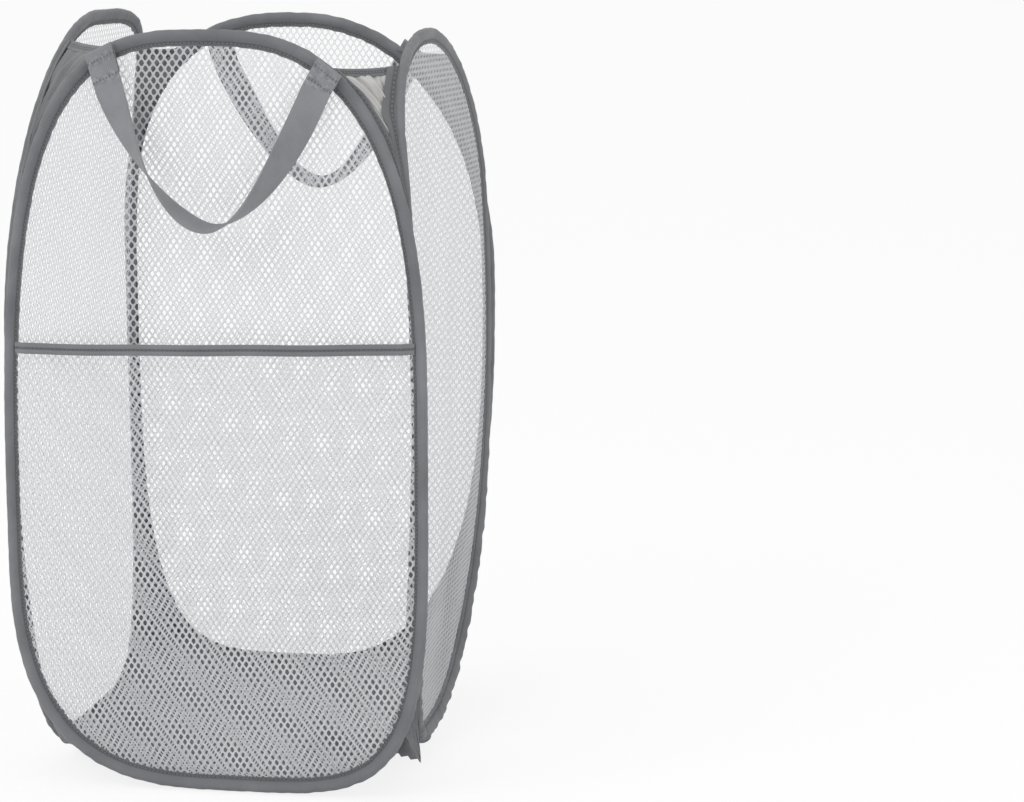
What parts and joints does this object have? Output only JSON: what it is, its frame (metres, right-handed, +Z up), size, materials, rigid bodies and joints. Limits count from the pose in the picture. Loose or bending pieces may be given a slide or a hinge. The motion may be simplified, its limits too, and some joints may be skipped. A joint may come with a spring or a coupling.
{
  "type": "pop up laundry hamper",
  "caption": "Open-topped folding laundry basket: sprung wire hoops in cloth bindings carry mesh walls, a cloth floor, a front pocket and webbing handles.",
  "frame": {"origin": "on the ground under the middle of the cloth floor, at the floor's flat underside", "axes": "+Z up, -Y towards the front with the pocket, +X to the right seen from the front"},
  "size_m": [0.3488, 0.4094, 0.6219],
  "materials": {
    "wire": "drawn spring wire",
    "ferrule": "crimped",
    "binding": "woven tape",
    "net": "knitted mesh",
    "cloth": "thin woven cloth",
    "webbing": "woven webbing"
  },
  "bodies": {
    "front": {"wire_front": "wire", "ferrule_front": "ferrule", "binding_front": "binding", "net_front": "net", "pocket_net": "net", "pocket_tape": "binding", "handle_end_front_left": "webbing", "handle_end_front_right": "webbing", "floor": "cloth", "gusset_front_left": "cloth", "gusset_front_right": "cloth", "gusset_back_left": "cloth", "gusset_back_right": "cloth", "hem_front_left": "binding", "hem_front_right": "binding", "hem_back_left": "binding", "hem_back_right": "binding", "floor_corner_front_left": "cloth", "floor_corner_front_right": "cloth", "floor_corner_back_left": "cloth", "floor_corner_back_right": "cloth"},
    "left": {"wire_left": "wire", "ferrule_left": "ferrule", "binding_left": "binding", "net_left": "net"},
    "right": {"wire_right": "wire", "ferrule_right": "ferrule", "binding_right": "binding", "net_right": "net"},
    "back": {"wire_back": "wire", "ferrule_back": "ferrule", "binding_back": "binding", "net_back": "net", "handle_end_back_left": "webbing", "handle_end_back_right": "webbing"},
    "handle_front": {"handle_front": "webbing"},
    "handle_back": {"handle_back": "webbing"}
  },
  "joints": [
    {"name": "fold_left", "type": "hinge", "parent": "front", "child": "left", "pos_m": [-0.152, -0.152, 0], "axis": [0, 0, -1], "range_deg": [0, 90], "stiffness_Nm_per_rad": 0.25, "springref_deg": -11.46, "deforming": ["floor", "gusset_front_left", "gusset_front_right", "gusset_back_left", "gusset_back_right", "hem_front_left", "hem_front_right", "hem_back_left", "hem_back_right", "floor_corner_front_left", "floor_corner_front_right", "floor_corner_back_left", "floor_corner_back_right"]},
    {"name": "fold_right", "type": "hinge", "parent": "front", "child": "right", "pos_m": [0.168, -0.168, 0], "axis": [0, 0, -1], "range_deg": [0, 90]},
    {"name": "fold_back", "type": "hinge", "parent": "left", "child": "back", "pos_m": [-0.168, 0.168, 0], "axis": [0, 0, -1], "range_deg": [-90, 0]},
    {"name": "front_handle_swing", "type": "hinge", "parent": "front", "child": "handle_front", "pos_m": [0, -0.1767, 0.574], "axis": [-1, 0, 0], "range_deg": [0, 160]},
    {"name": "back_handle_swing", "type": "hinge", "parent": "back", "child": "handle_back", "pos_m": [0, 0.1767, 0.574], "axis": [1, 0, 0], "range_deg": [0, 160]}
  ],
  "couplings": [
    {"joint": "fold_right", "follows": "fold_left", "ratio": 1},
    {"joint": "fold_back", "follows": "fold_left", "ratio": -1}
  ]
}
